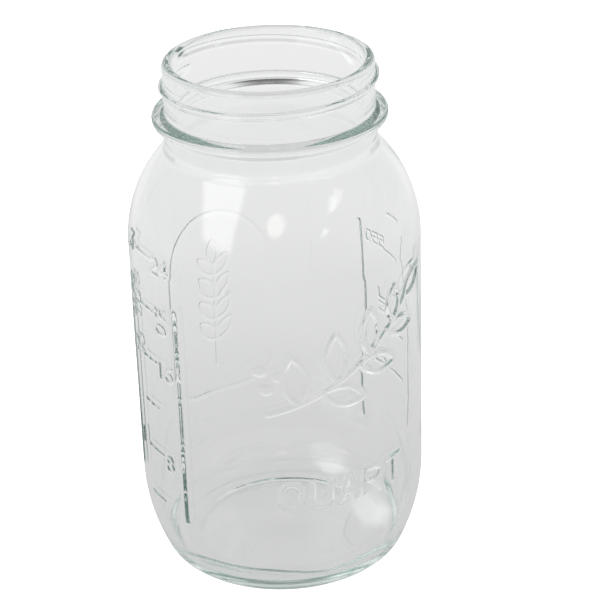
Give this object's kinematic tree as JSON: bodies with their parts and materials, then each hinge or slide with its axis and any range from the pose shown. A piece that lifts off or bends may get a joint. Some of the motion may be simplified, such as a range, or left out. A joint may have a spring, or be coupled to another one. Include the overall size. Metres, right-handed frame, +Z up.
{
  "type": "canning jar",
  "caption": "Clear glass canning jar with a screw-thread mouth, a transfer bead, raised graduation scales, a raised leafy sprig and a capacity word.",
  "frame": {"origin": "centre of the ring the jar stands on, on the jar's axis", "axes": "+Z up along the jar's axis towards the mouth; the ounce scale faces between -X and -Y, the front sprig between -Y and +X"},
  "size_m": [0.095, 0.0961, 0.173],
  "materials": {
    "clear_glass": "smooth fire-polished soda-lime glass with a faint aqua tint"
  },
  "bodies": {
    "root": {"glass_jar": "clear_glass", "neck_thread": "clear_glass", "ounce_scale": "clear_glass", "millilitre_scale": "clear_glass", "front_sprig": "clear_glass", "capacity_word": "clear_glass", "back_frame": "clear_glass"}
  },
  "joints": []
}
